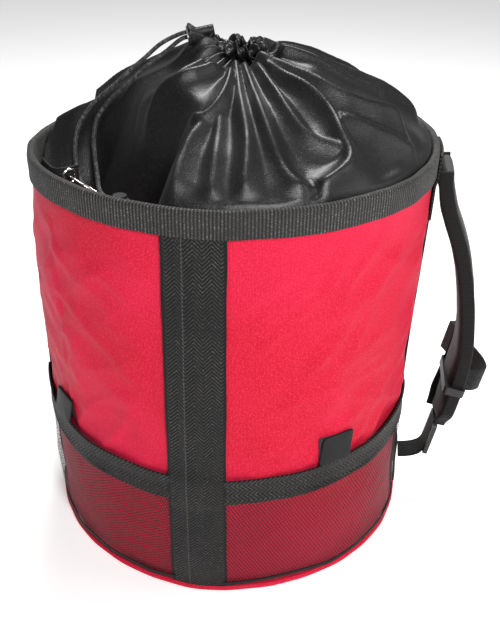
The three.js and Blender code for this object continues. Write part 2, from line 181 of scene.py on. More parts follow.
class Graph:
    """One material round a Principled shader, with patterns in the piece's own coordinates."""

    def __init__(self, name, **constants):
        self.material = bpy.data.materials.new(name)
        self.material.use_nodes = True
        self.tree = self.material.node_tree
        self.tree.nodes.clear()
        self.shader = self.node("ShaderNodeBsdfPrincipled")
        output = self.node("ShaderNodeOutputMaterial")
        self.tree.links.new(self.shader.outputs[0], output.inputs["Surface"])
        place = self.node("ShaderNodeTexCoord").outputs["Object"]
        self.place = Value(self, place)
        split = self.node("ShaderNodeSeparateXYZ")
        self.tree.links.new(place, split.inputs[0])
        self.x, self.y, self.z = (Value(self, s) for s in split.outputs)
        for socket, value in constants.items():
            self.set(socket, value)

    def node(self, kind, **settings):
        node = self.tree.nodes.new(kind)
        for key, value in settings.items():
            setattr(node, key, value)
        return node

    def feed(self, socket, value):
        if isinstance(value, Value):
            self.tree.links.new(value.socket, socket)
        else:
            socket.default_value = value

    def set(self, name, value):
        socket = self.shader.inputs[name.replace("_", " ").title().replace("Ior", "IOR")]
        if isinstance(value, tuple) and len(value) == 3:
            value = (*value, 1)
        self.feed(socket, value)

    def math(self, operation, *values):
        node = self.node("ShaderNodeMath", operation=operation)
        for socket, value in zip(node.inputs, values):
            self.feed(socket, value)
        return Value(self, node.outputs[0])

    def arc(self, radius):
        """Distance round the Z axis at this radius, from the +X side."""
        return self.math("ARCTAN2", self.y, self.x) * radius

    def noise(self, scale, detail=2.0, roughness=0.5, stretch=None, distortion=0.0):
        node = self.node("ShaderNodeTexNoise")
        place = self.place
        if stretch is not None:
            mapping = self.node("ShaderNodeMapping")
            mapping.inputs["Scale"].default_value = stretch
            self.feed(mapping.inputs["Vector"], place)
            place = Value(self, mapping.outputs[0])
        self.feed(node.inputs["Vector"], place)
        for key, value in (("Scale", scale), ("Detail", detail), ("Roughness", roughness),
                           ("Distortion", distortion)):
            node.inputs[key].default_value = value
        return Value(self, node.outputs[0])

    def blend(self, amount, low, high):
        node = self.node("ShaderNodeMix", data_type="RGBA")
        self.feed(node.inputs["Factor"], amount)
        colours = [s for s in node.inputs if s.type == "RGBA"]
        for socket, colour in zip(colours, (low, high)):
            self.feed(socket, (*colour, 1) if isinstance(colour, tuple) else colour)
        return Value(self, [s for s in node.outputs if s.type == "RGBA"][0])

    def bump(self, *layers):
        """Each layer is (height, depth in metres)."""
        normal = None
        for height, depth in layers:
            node = self.node("ShaderNodeBump")
            node.inputs["Strength"].default_value = 1.0
            node.inputs["Distance"].default_value = depth
            self.feed(node.inputs["Height"], height)
            if normal is not None:
                self.tree.links.new(normal, node.inputs["Normal"])
            normal = node.outputs[0]
        self.tree.links.new(normal, self.shader.inputs["Normal"])


def grey(level, warm=0.0):
    return (level * (1 + warm), level, level * (1 - warm))


def red_cloth():
    g = Graph("red_nylon", sheen_weight=0.08, sheen_roughness=0.3, specular_ior_level=0.08)
    g.set("sheen_tint", (1.0, 0.25, 0.55))
    cloud = g.noise(7, 3).ramp(0.35, 0.7)
    colour = g.blend(cloud, (0.48, 0.004, 0.016), (0.62, 0.011, 0.048))
    grain = g.noise(900, 1)
    threads = g.arc(0.175).sine(0.0011) * g.z.sine(0.0011)
    speck = threads * 0.5 + grain.ramp(0.42, 0.72) * 0.4
    g.set("base_color", g.blend(speck, colour, (0.86, 0.045, 0.11)))
    creases = g.noise(26, 4, 0.55, distortion=0.6)
    g.bump((creases, 0.0016), (threads, 0.00012))
    g.set("roughness", g.noise(14, 2) * 0.14 + 0.44)
    return g.material


def black_cloth():
    g = Graph("black_nylon", sheen_weight=0.03, sheen_roughness=0.35, specular_ior_level=0.48)
    grain = g.noise(800, 2, 0.7)
    patches = g.noise(14, 2).ramp(0.3, 0.75)
    dark = g.blend(patches, grey(0.0025, 0.03), grey(0.005))
    g.set("base_color", g.blend(grain.ramp(0.52, 0.8), dark, grey(0.028)))
    g.set("roughness", grain * 0.14 + 0.30 + patches * 0.06)
    creases = g.noise(70, 3, 0.5)
    g.bump((creases, 0.0006), (grain, 0.00025))
    return g.material


STITCH = 0.0006  # half the width of a box stitch's thread, in metres


def webbing(name, across="y", along="z", column=0.0070, pitch=0.0034, light=0.12, shade=0.005,
            edge=None, seam=None, box=None, ribs=False):
    """Woven tape: chevrons or ribs, bright filaments, smoother edges and sewn lines."""
    g = Graph(name, sheen_weight=0.04, sheen_roughness=0.5, specular_ior_level=0.22)
    ways = {"x": g.x, "y": g.y, "z": g.z}
    u = g.arc(0.176) if across == "arc" else ways[across]
    v = g.arc(0.178) if along == "arc" else ways[along]
    if ribs:
        wave = v.sine(pitch) * 0.7 + (u + v.pingpong(pitch) * 0.8).sine(0.0021) * 0.3
    else:
        wave = (v + u.pingpong(column) * 1.1).sine(pitch)
    threads = u.sine(0.00115) * 0.5 + v.sine(0.0014) * 0.5
    speck = g.noise(760, 1, 0.4).ramp(0.5, 0.78)
    worn = g.noise(16, 3).ramp(0.25, 0.8) * 0.6 + 0.4
    lit = wave.ramp(0.3, 1.0) * (speck * 0.75 + 0.25) * worn
    if edge is not None:
        lit = lit * (1 - u.size().ramp(edge - 0.0022, edge - 0.0012))
    colour = g.blend(lit, grey(shade, 0.04), grey(light, 0.03))
    height = wave * 0.7 + threads * 0.3
    sewn = None
    if seam is not None:
        dash = (v.remainder(0.0036) / 0.0036).below(0.72)
        sewn = (u - seam).size().below(0.00055) * dash
    if box is not None:
        half_u, low, high = box
        half_v = (high - low) / 2
        aside, away = u.size(), (v - (low + high) / 2).size()
        inside = aside.below(half_u + STITCH) * away.below(half_v + STITCH)
        frame_u = (aside - half_u).size().below(STITCH)
        frame_v = (away - half_v).size().below(STITCH)
        cross = (aside / half_u - away / half_v).size().below(0.05)
        lines = g.math("MAXIMUM", g.math("MAXIMUM", frame_u, frame_v), cross) * inside
        dash = ((u + v * 1.3).remainder(0.0032) / 0.0032).below(0.74)
        sewn = lines * dash
    if sewn is not None:
        colour = g.blend(sewn, colour, grey(0.06))
        height = height + sewn * 1.2
    g.set("base_color", colour)
    g.set("roughness", 0.72 - lit * 0.3)
    g.bump((g.noise(60, 3), 0.0006), (height, 0.00045))
    return g.material


def net_cloth():
    """Diamond netting: filaments with clear openings between them."""
    g = Graph("pocket_net", roughness=0.55, specular_ior_level=0.3)
    u = g.arc(0.18)
    wander = (g.noise(40, 1) - 0.5) * 0.0012
    spacing = 0.0032
    rising = ((u + g.z * 0.62 + wander).remainder(spacing) / spacing - 0.5).size()
    falling = ((u * 0.55 - g.z + wander).remainder(spacing) / spacing - 0.5).size()
    strands = g.math("MAXIMUM", rising.above(0.42), falling.above(0.46))
    strands = g.math("MAXIMUM", strands, rising.above(0.34) * falling.above(0.37))
    glint = g.noise(900, 1).ramp(0.55, 0.8)
    g.set("base_color", g.blend(glint, grey(0.006), grey(0.05)))
    g.set("alpha", strands)
    g.bump((g.math("MAXIMUM", rising, falling), 0.0004))
    return g.material


def coated_cloth():
    """Smooth backing whose top edge is painted pale: a painted highlight along the top."""
    g = Graph("tab_cloth", specular_ior_level=0.2)
    top = 0.1635
    grain = g.noise(420, 3, 0.6)
    cloth = g.blend(g.noise(30, 2), grey(0.006), grey(0.016))
    # Above the top height the colour blends to pale grey: a painted highlight on the flap's top edge.
    g.set("base_color", g.blend(g.z.ramp(top, top + 0.0012), cloth, grey(0.10)))
    g.set("roughness", grain * 0.2 + 0.45)
    g.bump((g.noise(60, 2), 0.0008), (grain, 0.00015))
    return g.material


def moulded():
    g = Graph("moulded_plastic", roughness=0.4)
    grain = g.noise(1100, 2, 0.6)
    wear = g.noise(45, 4, 0.6).ramp(0.55, 0.8)
    g.set("base_color", g.blend(wear, grey(0.013), grey(0.035)))
    g.set("roughness", grain * 0.18 + 0.34)
    g.bump((grain, 0.00012))
    return g.material


def metal():
    g = Graph("nickel_plate", metallic=1.0)
    tone = (0.72, 0.70, 0.67)
    scratches = g.noise(240, 4, 0.7, stretch=(1, 6, 1))
    tarnish = g.noise(60, 3).ramp(0.4, 0.8)
    g.set("base_color", g.blend(tarnish, tone, tuple(0.78 * c for c in tone)))
    g.set("roughness", scratches * 0.18 + 0.12)
    g.bump((scratches, 0.00005))
    return g.material


def cord_braid():
    g = Graph("braided_cord", roughness=0.6, sheen_weight=0.15)
    strands = g.noise(520, 2, 0.5, stretch=(1, 1, 0.6))
    tracer = g.noise(330, 1).ramp(0.56, 0.66)
    body = g.blend(strands.ramp(0.4, 0.7), grey(0.012), grey(0.055))
    g.set("base_color", g.blend(tracer, body, grey(0.09)))
    g.bump((strands, 0.0006))
    return g.material


def foam_sheet():
    g = Graph("closed_cell_foam", roughness=0.9)
    cells = g.noise(600, 2)
    g.set("base_color", g.blend(cells, grey(0.03), grey(0.06)))
    g.bump((cells, 0.0003))
    return g.material


def pad_cloth():
    g = Graph("pad_cordura", sheen_weight=0.15, sheen_roughness=0.5)
    weave = g.y.sine(0.0016) * g.z.sine(0.0016)
    grain = g.noise(500, 2)
    g.set("base_color", g.blend(weave * grain, grey(0.010), grey(0.045)))
    g.set("roughness", 0.75 - grain * 0.15)
    g.bump((g.noise(45, 3), 0.0012), (weave, 0.0003))
    return g.material


# Mesh making


def quads(rows, cols, wrap, flip=False, start=0):
    faces = []
    last = cols if wrap else cols - 1
    for i in range(rows - 1):
        for j in range(last):
            k = (j + 1) % cols
            face = (start + i * cols + j, start + i * cols + k,
                    start + (i + 1) * cols + k, start + (i + 1) * cols + j)
            faces.append(face[::-1] if flip else face)
    return faces


def ring_quads(rows, cols):
    """Faces of a ring: it closes on itself both ways."""
    last = (rows - 1) * cols
    closing = [(last + j, last + (j + 1) % cols, (j + 1) % cols, j) for j in range(cols)]
    return quads(rows, cols, True) + closing


def capped_quads(rows, cols):
    """Faces of a closed tube with a flat face at each end."""
    first = tuple(range(cols))[::-1]
    last = tuple((rows - 1) * cols + j for j in range(cols))
    return quads(rows, cols, True) + [first, last]


def surface_normals(points, wrap):
    if wrap:
        across = np.roll(points, -1, axis=1) - np.roll(points, 1, axis=1)
    else:
        across = np.gradient(points, axis=1)
    along = np.gradient(points, axis=0)
    normal = np.cross(across, along)
    length = np.linalg.norm(normal, axis=2, keepdims=True)
    return normal / np.maximum(length, 1e-9)


def make(name, points, faces, material, place=BAG, body="bag", slot=None, replaces=(), sharp=50):
    """A piece from points in millimetres in the place's own frame."""
    mesh = bpy.data.meshes.new(name)
    scaled = np.asarray(points, dtype=float).reshape(-1, 3) * MM
    mesh.from_pydata(scaled.tolist(), [], faces)
    clean = bmesh.new()
    clean.from_mesh(mesh)
    bmesh.ops.recalc_face_normals(clean, faces=clean.faces)
    clean.to_mesh(mesh)
    clean.free()
    mesh.shade_smooth()
    mesh.set_sharp_from_angle(angle=math.radians(sharp))
    mesh.materials.append(material)
    piece = linked(name, mesh)
    piece.matrix_world = place
    bpy.context.view_layer.update()
    finish_piece(piece, body, replaces)
    return piece


def finish_piece(piece, body, replaces):
    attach(piece, body)
    if replaces:
        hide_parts(*replaces)


def cloth_layer(name, points, wrap, outward, inward, material, **rest):
    """A closed layer of cloth from a grid of points: outward and inward are its half thicknesses."""
    normal = surface_normals(points, wrap)
    outer = points + normal * outward
    inner = points - normal * inward
    rows, cols = points.shape[:2]
    count = rows * cols
    faces = quads(rows, cols, wrap) + quads(rows, cols, wrap, flip=True, start=count)
    steps = range(cols if wrap else cols - 1)
    for j in steps:
        k = (j + 1) % cols
        faces.append((j, count + j, count + k, k))
        top = (rows - 1) * cols
        faces.append((top + j, top + k, count + top + k, count + top + j))
    if not wrap:
        for i in range(rows - 1):
            a = i * cols
            b = (i + 1) * cols
            faces.append((a, b, count + b, count + a))
            a += cols - 1
            b += cols - 1
            faces.append((a, count + a, count + b, b))
    both = np.concatenate([outer.reshape(-1, 3), inner.reshape(-1, 3)])
    return make(name, both, faces, material, **rest)


def tube(name, centres, axes_a, axes_b, material, section, closed=False, **rest):
    """A section swept along centres; axes_a and axes_b are its two directions at each centre."""
    section = np.asarray(section)
    rings = (centres[:, None, :] + axes_a[:, None, :] * section[None, :, 0:1]
             + axes_b[:, None, :] * section[None, :, 1:2])
    cover = ring_quads if closed else capped_quads
    return make(name, rings, cover(*rings.shape[:2]), material, **rest)


def spline(points, count):
    """Catmull-Rom through the points, even in the parameter."""
    p = np.asarray(points, dtype=float)
    p = np.vstack([2 * p[0] - p[1], p, 2 * p[-1] - p[-2]])
    spans = len(p) - 3
    where = np.linspace(0, spans, count)
    i = np.minimum(where.astype(int), spans - 1)
    t = (where - i)[:, None]
    a, b, c, d = p[i], p[i + 1], p[i + 2], p[i + 3]
    return 0.5 * (2 * b + (c - a) * t + (2 * a - 5 * b + 4 * c - d) * t**2 + (3 * b - a - 3 * c + d) * t**3)


def directions(path):
    """The unit direction of a path at each of its points."""
    way = np.gradient(path, axis=0)
    return way / np.linalg.norm(way, axis=1, keepdims=True)


def oval(half_width, half_height, count):
    turns = full_turn(count, 2 * math.pi)
    return [(half_width * math.cos(t), half_height * math.sin(t)) for t in turns]


def rounded(width, height, corner, steps=4):
    """A rounded rectangle as a loop of points."""
    loop = []
    for cx, cy, start in ((1, 1, 0), (-1, 1, 90), (-1, -1, 180), (1, -1, 270)):
        for k in range(steps + 1):
            a = math.radians(start + 90 * k / steps)
            loop.append((cx * (width / 2 - corner) + corner * math.cos(a),
                         cy * (height / 2 - corner) + corner * math.sin(a)))
    return loop


def turned(name, profile, place, material, steps=48, **rest):
    """A closed solid of revolution about the place's own Z, from [radius, z] pairs."""
    angles = full_turn(steps, 2 * math.pi)
    profile = np.asarray(profile)
    ring = np.stack([np.outer(profile[:, 0], np.cos(angles)), np.outer(profile[:, 0], np.sin(angles)),
                     np.repeat(profile[:, 1:2], steps, 1)], -1)
    return make(name, ring, ring_quads(len(profile), steps), material, place=place, **rest)


def rough(x, y, z, seed=0.0):
    return noise.noise(Vector((x, y, z + seed)))


def field(a, b, c, seed=0.0):
    """Smooth noise over arrays."""
    flat = np.stack([np.ravel(a), np.ravel(b), np.ravel(c)], -1)
    values = [rough(p[0], p[1], p[2], seed) for p in flat]
    return np.array(values).reshape(np.shape(a))


# The bag's wall


def squaring(angle, z):
    """The four straps hold the wall out and the cloth between them lies flatter."""
    reach = smooth((RIM - 20 - z) / 200) * (0.35 + 0.65 * smooth(z / 50))
    away = strap_distance(angle)
    back = smooth((85 - np.abs((angle % 360) - 180)) / 35)
    ridge = np.exp(-(away / 13)**2) - 0.30 * (1 - np.exp(-(away / 30)**2))
    return reach * (6.0 * (1 - back) * ridge - 4.0 * back)


DENT_ANGLE = 300
DENT_DEPTH = 25


def dent(angle, z):
    """The top of the bag is pressed in at the front left, the far left of the camera's view."""
    away = gap(angle, DENT_ANGLE)
    return -DENT_DEPTH * np.exp(-(away / 27)**2) * smooth((z - 290) / 70)


def wall(angle, z):
    """The radius of the wall's outer face."""
    cone = BASE_RADIUS + (RIM_RADIUS - BASE_RADIUS) * np.asarray(z) / RIM
    return cone + squaring(angle, z) + dent(angle, z)


def polar(angle, radius, z):
    a = np.radians(angle)
    return np.stack(np.broadcast_arrays(radius * np.sin(a), -radius * np.cos(a), z), -1)


def local_polar(offset_angle, radius, z):
    """The same in a facing() frame, where the angle is measured from +X."""
    a = np.radians(offset_angle)
    return np.stack(np.broadcast_arrays(radius * np.cos(a), radius * np.sin(a), z), -1)


def strap_distance(angle):
    """Degrees from the nearest vertical strap's middle."""
    return np.minimum.reduce([np.abs(gap(angle, c)) for c in CORNERS.values()])


def wrinkles(angle, z):
    free = smooth((strap_distance(angle) - 8.5) / 12) * smooth((RIM - 26 - z) / 40)
    free = free * smooth((z - 4) / 20) * (0.35 + 0.65 * smooth((z - 105) / 40))
    run = np.radians(angle) * 175
    total = 0
    for slope, length, width, depth, seed in ((0.75, 95, 30, 3.0, 3.1), (-0.6, 120, 34, 2.6, 9.4),
                                              (0.2, 60, 22, 1.2, 17.0)):
        c, s = math.cos(slope), math.sin(slope)
        along = run * c + z * s
        across = -run * s + z * c
        wave = field(along / length, across / width, np.zeros_like(along), seed)
        total = total + depth * (1 - 2 * np.abs(wave) ** 0.7)
    edge = 1.2 * cosd(90 * np.clip((strap_distance(angle) - 8.5) / 9, 0, 1))
    return free * total * 0.8 - edge * 0.6


looks = {
    "red": red_cloth(),
    "black": black_cloth(),
    "net": net_cloth(),
    "tab": coated_cloth(),
    "plastic": moulded(),
    "metal": metal(),
    "cord": cord_braid(),
    "foam": foam_sheet(),
    "pad": pad_cloth(),
    "strap": webbing("strap_webbing", edge=0.0245, seam=-0.0085),
    "rim": webbing("rim_webbing", across="z", along="arc", ribs=True, pitch=0.0027, light=0.30,
                   shade=0.015),
    "binding": webbing("binding_webbing", across="z", along="arc", column=0.0055, pitch=0.0040,
                       light=0.16, shade=0.007),
    "narrow": webbing("narrow_webbing", column=0.0042, pitch=0.0026, edge=0.0125, light=0.06),
    "anchor": webbing("anchor_webbing", box=(0.019, RIM * MM - 0.056, RIM * MM - 0.026)),
    "foot": webbing("foot_webbing", box=(0.016, 0.027, 0.055)),
    "onedge": webbing("chest_webbing", across="z", along="y", column=0.0042, pitch=0.0026,
                      light=0.06),
}


# Drawcord

CORD = 3.6
CORD_ROUTE = [
    (-19.2, -27.7, 460.5), (-24.5, -35.9, 458.5), (-34, -49, 450.5), (-41, -61, 439),
    (-47, -72, 429), (-53, -83, 418), (-59, -92, 409), (-64, -100, 401), (-67, -108, 391),
    (-67, -116, 379), (-59, -124, 362), (-44, -129, 346), (-24, -131.5, 341.5), (0, -132, 341.5),
    (14, -134, 342.4), (25.5, -138.5, 343), (35.1, -135.6, 343), (44.9, -133.5, 343),
    (53, -129.5, 344), (58, -122.5, 346), (54, -116, 347.5), (47, -117, 346.5),
    (43, -122.5, 344.6), (43.6, -128.7, 343), (34, -131.6, 343), (24.2, -133.7, 343),
    (14, -128.6, 342), (0, -126.5, 341), (-18, -124, 342), (-32, -118, 350), (-44, -113, 363),
    (-53, -108, 375), (-58, -101, 389), (-55, -92, 401.5), (-49, -83, 412), (-43, -72, 422.5),
    (-37, -61, 433.5), (-30, -47, 444.5), (-24.1, -35.2, 454.3), (-18.7, -27, 456.3),
]
cord_points = spline(CORD_ROUTE, 400)


def make_cord():
    curve = bpy.data.curves.new("drawcord_braid", "CURVE")
    curve.dimensions = "3D"
    curve.bevel_depth = CORD / 2 * MM
    curve.bevel_resolution = 4
    curve.use_fill_caps = True
    line = curve.splines.new("POLY")
    line.points.add(len(cord_points) - 1)
    for point, place in zip(line.points, cord_points * MM):
        point.co = (place[0], place[1] + AXIS_Y * MM, place[2], 1)
    curve.materials.append(looks["cord"])
    piece = linked("drawcord_braid", curve)
    finish_piece(piece, "bag", ["drawcord"])
    return piece


drawcord = make_cord()


NARROW_TAPE = rounded(25, 1.9, 0.85, 3)


# Body and strapping


def make_body():
    heights = np.concatenate([[1.0, 2.5], np.linspace(6, 372.6, 108)])
    angles = full_turn(300)
    a, z = np.meshgrid(angles, heights)
    radius = wall(a, z) + wrinkles(a, z) - 1.6 * (1 - smooth(z / 5))
    cloth_layer("bag_wall", polar(a, radius, z), True, 0, 1.2, looks["red"], slot="red_cloth",
                replaces=["body_shell"])

    # The base is a slightly rumpled disc with the drain hole in its middle.
    radii = np.concatenate([[7.0], np.linspace(10, 160, 14), [166.5, 168.4]])
    a, r = np.meshgrid(full_turn(96), radii)
    fade = smooth((r - 9) / 20) * smooth((168 - r) / 12)
    lift = 1.6 + 0.9 * fade * field(r * sind(a) / 40, r * cosd(a) / 40,
                                    np.zeros_like(a), 5.0)
    cloth_layer("base_cloth", polar(a, r, lift), True, 0.6, 0.6, looks["red"], slot="red_cloth",
                replaces=["base_panel"])

    # A corded welt closes the seam between the wall and the base.
    count = 360
    angle = full_turn(count)
    radius = wall(angle, 2.5) + 1.6 + 0.35 * sind(angle * 23) * sind(angle * 7)
    centres = polar(angle, radius, np.full(count, 2.6))
    out = polar(angle, np.ones(count), np.zeros(count))
    up = np.tile(UP, (count, 1))
    tube("base_welt", centres, out, up, looks["red"], closed=True, section=oval(2.1, 2.4, 10),
         slot="red_cloth", replaces=["base_piping"])


def make_inside():
    """The foam disc in the floor of the bag and the loop that the rope is tied to."""
    profile = [(13.2, 4.2), (14, 3.5), (164, 3.5), (166, 4.6), (166, 8), (164, 9.2), (14, 9.2),
               (13.2, 8.6)]
    turned("stiffener_sheet", profile, BAG, looks["foam"], steps=120, slot="foam",
           replaces=["base_stiffener"])
    path = spline([(-22, 70, 10.8), (-22, 70.5, 30), (-12, 71, 44), (0, 71.4, 48), (12, 71, 44),
                   (22, 70.5, 30), (22, 70, 10.8)], 48)
    way = directions(path)
    across = np.tile(SIDEWAYS, (len(path), 1))
    tube("tie_loop", path, across, np.cross(way, across), looks["narrow"],
         section=NARROW_TAPE, slot="webbing", replaces=["tie_in_loop"])


def make_rim_band():
    """Webbing folded over the top edge: an outer face, a rounded crown and an inner face."""
    foot = RIM - BAND_HEIGHT
    profile = [(0.6, foot), (2.2, foot), (2.35, foot + 1), (2.2, foot + 7), (2.4, foot + 14),
               (2.3, RIM - 3), (1.9, RIM - 1), (0.9, RIM - 0.1), (-0.9, RIM), (-2.7, RIM - 0.1),
               (-3.9, RIM - 1), (-4.4, RIM - 3), (-4.5, foot + 10), (-4.5, foot), (-3.0, foot),
               (-3.0, foot + 10), (-2.6, RIM - 2.6), (0.2, RIM - 2.6), (0.6, foot + 12)]
    profile = np.array(profile)
    angle = full_turn(400)
    sway = 0.7 * sind(angle * 5 + 40) + 0.45 * sind(angle * 13)
    a, offset = np.meshgrid(angle, profile[:, 0])
    height = profile[:, 1][:, None] + sway[None, :] * 0.6
    height = np.minimum(height, RIM + 0.4)
    ripple = 0.35 * sind(angle * 31) * sind(angle * 4 + 20)
    radius = RIM_RADIUS + offset + ripple[None, :] - (RIM - height) * TAPER + dent(a, height)
    make("rim_webbing", polar(a, radius, height), ring_quads(*a.shape), looks["rim"], slot="webbing",
         replaces=["rim_band"])


def make_straps():
    for corner, angle in CORNERS.items():
        across = np.linspace(-25, 25, 17)
        heights = np.concatenate([[4.2], np.linspace(7, RIM - BAND_HEIGHT + 1.5, 110)])
        u, z = np.meshgrid(across, heights)
        edge = np.abs(u) / 25
        sway = 0.5 * field(z / 45, np.sign(u) * 3 + angle, np.zeros_like(z), 2.0) * edge**2
        turn = np.degrees((u + sway * 1.6) / wall(angle, z))
        lift = 1.5 * smooth((z - 96) / 10) * (1 - smooth((z - 131) / 9))
        press = 0.25 * np.cos(u * 2 * math.pi / 33) + 0.45 * (1 - edge**6)
        radius = wall(angle + turn, z) + 0.9 + lift + press
        cloth_layer(f"strap_{corner}", local_polar(turn, radius, z), False, 0.6, 0.9,
                    looks["strap"], place=facing(angle), slot="webbing",
                    replaces=[f"vertical_strap_{corner}"])


# Pockets


def puff(turn, half, z, seed):
    """How far a pocket stands off the wall, by degrees from its middle and by height."""
    across = np.cos(np.radians(90) * np.clip(np.abs(turn) / half, 0, 1))
    rise = 0.30 + 0.70 * smooth(z / 85)
    sag = field(turn / 12, z / 34, np.zeros_like(z), seed)
    return (6.5 * rise + 2.4 * sag) * across ** 0.8


def binding_lift(angle):
    """The pocket tops are lowest at the front right strap and climb away from it."""
    away = np.abs(gap(angle, 45))
    return 10.0 * np.exp(-((away - 78) / 36) ** 2)


def make_pockets():
    low = POCKET_TOP - BINDING
    for index, (side, (angle, half, tab_angle)) in enumerate(POCKETS.items()):
        seed = 3.0 * index + 1.5
        place = facing(angle)
        turns = np.linspace(-half - 1, half + 1, 90)
        t, z = np.meshgrid(turns, np.concatenate([[8.0, 9.4], np.linspace(11, low + 4, 36)]))
        z = z + binding_lift(angle + t) * z / low
        skin = wall(angle + t, z) + np.maximum(wrinkles(angle + t, z), 0)
        net = skin + 0.9 + puff(t, half, z, seed)
        cloth_layer(f"net_{side}", local_polar(t, net, z), False, 0.3, 0.3, looks["net"],
                    place=place, slot="mesh", replaces=[f"pocket_mesh_{side}"])

        # The net's foot is turned under in a dark hem that hangs in shallow scallops.
        t, z = np.meshgrid(turns, np.linspace(0, 1, 6))
        scallop = np.abs(sind(t * 5.5 + 30))
        height = 6.6 + 3.6 * scallop + z * (3.8 - 0.8 * scallop)
        radius = wall(angle + t, height) + 2.3 + puff(t, half, height, seed) * 0.5
        cloth_layer(f"net_hem_{side}", local_polar(t, radius, height), False, 0.5, 0.5,
                    looks["tab"], place=place, slot="mesh")

        t, z = np.meshgrid(turns, np.linspace(low, POCKET_TOP, 12))
        across = np.cos(np.radians(90) * np.clip(np.abs(t) / half, 0, 1))
        radius = wall(angle + t, z) + 2.2 + 4.0 * across ** 0.8
        sway = 1.8 * field(t / 11, np.zeros_like(z), np.zeros_like(z), seed + 7) + binding_lift(angle + t)
        curl = 0.4 * np.cos((z - low) / BINDING * 2 * math.pi)
        cloth_layer(f"binding_{side}", local_polar(t, radius + curl, z + sway), False, 0.9, 0.9,
                    looks["binding"], place=place, slot="webbing",
                    replaces=[f"pocket_binding_{side}"])
        make_tab(side, tab_angle)


def make_tab(side, angle):
    """A flap that closes against the wall, and the hook patch behind it."""
    place = facing(angle)
    width, height, thick, lean = 32.0, 26.0, 2.0, math.radians(-5.5)
    foot = float(wall(angle, POCKET_TOP)) + 6.8
    loop = np.array(rounded(width, height, 3.5, 5))
    loop[:, 0] += 0.2 * (loop[:, 1] + height / 2)
    rings = [(0.86, 0.5), (0.96, 0.42), (1.0, 0.2), (1.0, -0.2), (0.96, -0.42), (0.86, -0.5)]
    points = []
    for share, depth in rings:
        inset = loop * (1 - (1 - share) * 0.42)
        bend = 3.2 * (inset[:, 1] / height) ** 2 - 3.0 * (inset[:, 0] / width) ** 2
        out = np.full(len(loop), depth * thick) + bend
        points.append(np.stack([out, inset[:, 0], inset[:, 1] + height / 2], -1))
    rows, cols = len(rings), len(loop)
    faces = quads(rows, cols, True)
    points = np.array(points).reshape(-1, 3)
    for start, flip in ((0, True), ((rows - 1) * cols, False)):
        centre = points[start:start + cols].mean(0)
        points = np.vstack([points, centre])
        mid = len(points) - 1
        for j in range(cols):
            k = (j + 1) % cols
            faces.append((start + j, start + k, mid) if flip else (start + k, start + j, mid))
    turn = turn_about_y(lean)
    points = points @ turn.T + np.array([foot, 0, POCKET_TOP - 0.5 + binding_lift(angle)])
    make(f"tab_{side}", points, faces, looks["tab"], place=place, body=f"closure_tab_{side}",
         slot="tab_cloth", replaces=[f"pocket_tab_{side}"])
    t, z = np.meshgrid(np.linspace(-4.6, 4.6, 12), np.linspace(POCKET_TOP + 8, POCKET_TOP + 28, 10))
    radius = wall(angle + t, z) + 1.0 + wrinkles(angle + t, z)
    cloth_layer(f"hook_{side}", local_polar(t, radius, z), False, 0.4, 0.6, looks["pad"], place=place,
                slot="tab_cloth", replaces=[f"hook_patch_{side}"])


# Collar

FOLDS = [
    # height, width, then the fold's line as (angle, radius) from the mouth to the rim
    (6.0, 7, [(57, 30), (58, 92), (59, 128), (57, 171)]),
    (4.5, 7, [(48, 88), (49, 120), (49, 143), (49, 171)]),
    (6.0, 7, [(64, 30), (66, 104), (69, 150), (73, 171)]),
    (9.0, 8, [(73, 40), (96, 102), (92, 135), (88, 158), (76, 172)]),
    (10.0, 12, [(72, 38), (100, 75), (109, 113), (127, 150)]),
    (8.0, 7, [(50, 36), (25, 68), (8, 90), (14, 101), (36, 109), (44, 107), (50, 85), (55, 45)]),
    (6.0, 9, [(44, 107), (38, 140), (39, 172)]),
    (7.0, 8, [(26, 40), (13, 82), (-4, 93)]),
    (7.0, 7, [(76, 40), (79, 119), (90, 146)]),
    (8.0, 12, [(96, 120), (108, 142), (116, 168)]),
]


def back_folds():
    folds = []
    angle = 140.0
    index = 0
    while angle < 336:
        wobble = 6 * rough(angle, 1.3, 0.7)
        reach = 172 if index % 3 else 128
        folds.append((6.5 + 2.5 * rough(angle, 4.0, 0.2), 8 + 3 * (index % 2),
                      [(angle + wobble, 34), (angle - wobble, 90), (angle + 2 * wobble, reach)]))
        angle += 14 + 5 * (index % 3)
        index += 1
    return folds


def line_distance(x, y, line):
    """Distance from each point to a line of points, and how far along it the nearest point is."""
    best = np.full(x.shape, 1e9)
    share = np.zeros(x.shape)
    steps = len(line) - 1
    for i in range(steps):
        a, b = line[i], line[i + 1]
        way = b - a
        t = ((x - a[0]) * way[0] + (y - a[1]) * way[1]) / max(way @ way, 1e-9)
        t = np.clip(t, 0, 1)
        away = np.hypot(x - a[0] - t * way[0], y - a[1] - t * way[1])
        closer = away < best
        best = np.where(closer, away, best)
        share = np.where(closer, (i + t) / steps, share)
    return best, share


def collar_base(radius, x, y):
    """Height of the smooth gathered dome above the base of the bag, and how hollow it is there."""
    share = np.minimum(radius / COLLAR_RADIUS, 1)
    rise = COLLAR_RISE * (1 - share**1.6) ** 0.9
    side = (x * 0.585 + y * 0.811) / COLLAR_RADIUS
    lean = np.where(side > 0, -5, 18) * side * (1 - share**6)
    plump = 5 * smooth(side * 1.6 - 0.25) * smooth((share - 0.45) / 0.35) * (1 - share**8)
    angle = np.degrees(np.arctan2(x, -y))
    aside = 0.94 * (1 - smooth((-16 - angle) / 24)) * (1 - smooth((angle - 25) / 15))
    hollow = aside * smooth((radius - 80) / 48)
    return RIM + rise + lean + plump - 9 * np.exp(-(radius / 40)**2), hollow


